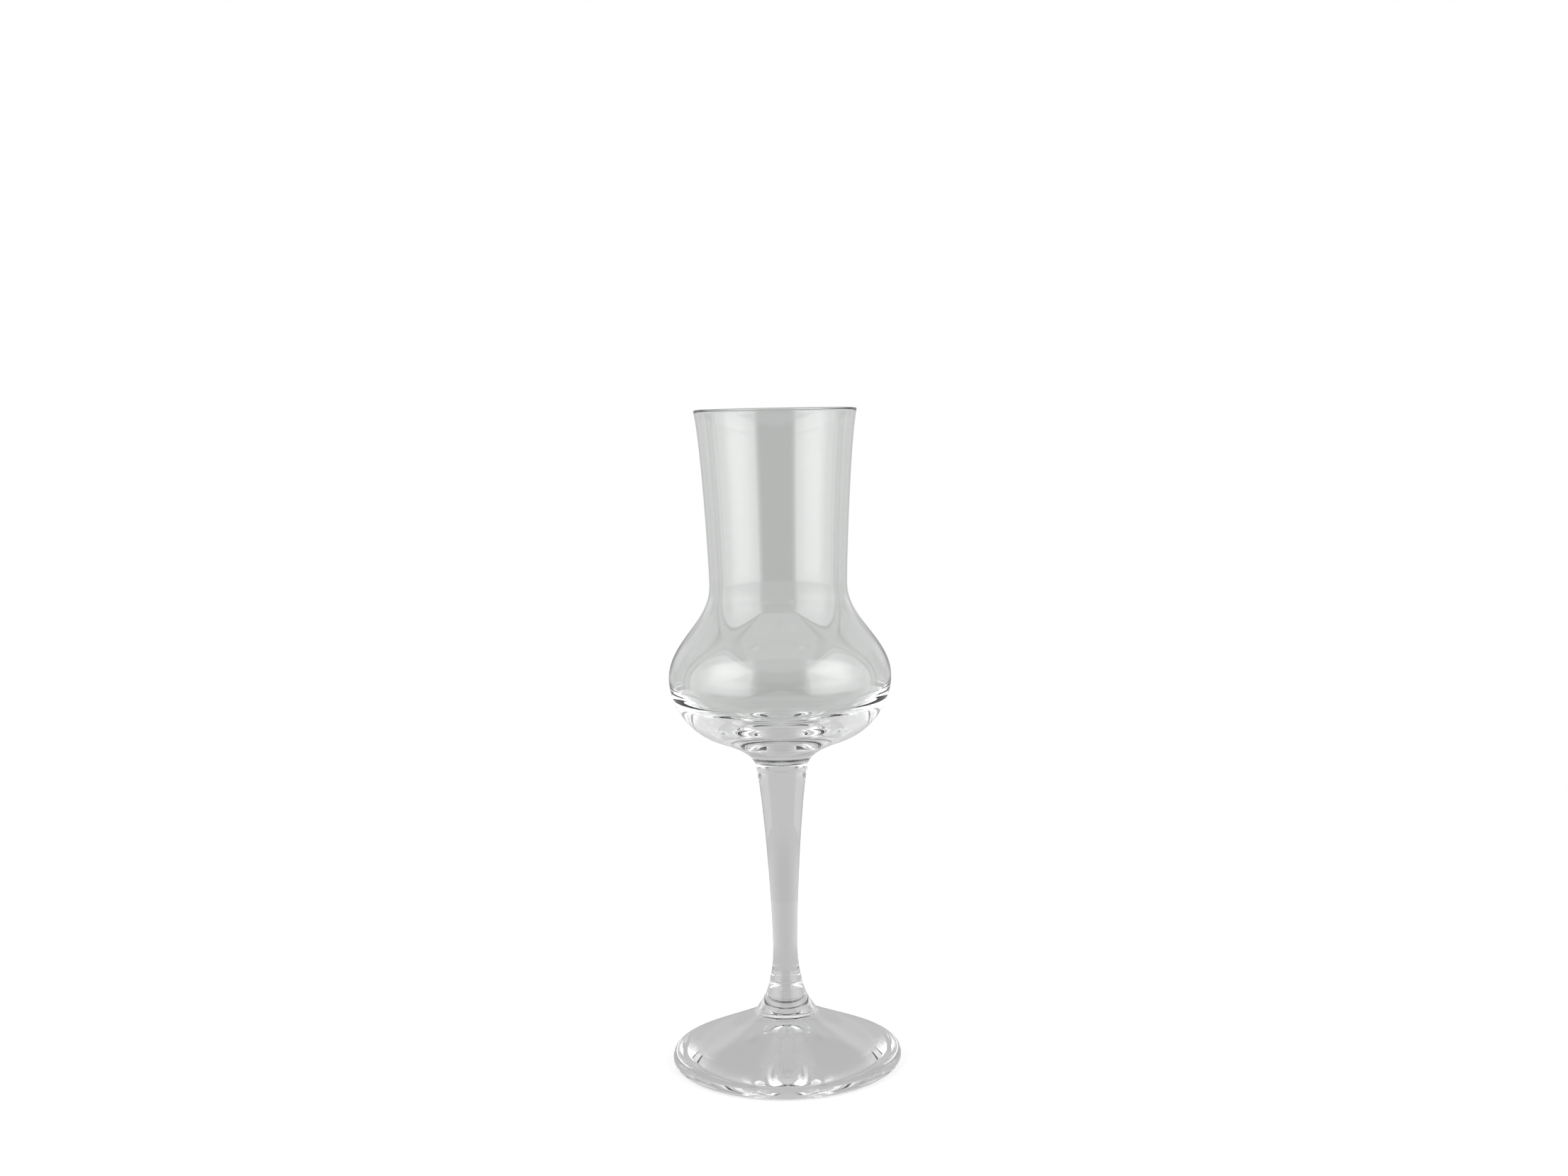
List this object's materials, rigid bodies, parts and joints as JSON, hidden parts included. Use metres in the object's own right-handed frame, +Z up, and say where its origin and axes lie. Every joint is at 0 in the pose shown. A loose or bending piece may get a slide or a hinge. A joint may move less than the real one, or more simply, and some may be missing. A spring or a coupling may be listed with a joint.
{
  "type": "grappa glass",
  "caption": "Stemmed tulip glass for grappa: a narrow flared neck above a squat bulb with a thick base, on a slender tapered stem and a round sloping foot that is hollow underneath.",
  "frame": {"origin": "centre of the standing ring, on the table", "axes": "+Z up along the axis of rotation, towards the rim; +X and +Y are free, because the glass is a body of revolution"},
  "size_m": [0.0554, 0.0554, 0.158],
  "materials": {
    "clear_glass": "clear, fire-polished"
  },
  "bodies": {
    "root": {"bowl": "clear_glass", "stem": "clear_glass", "foot": "clear_glass"}
  },
  "joints": []
}
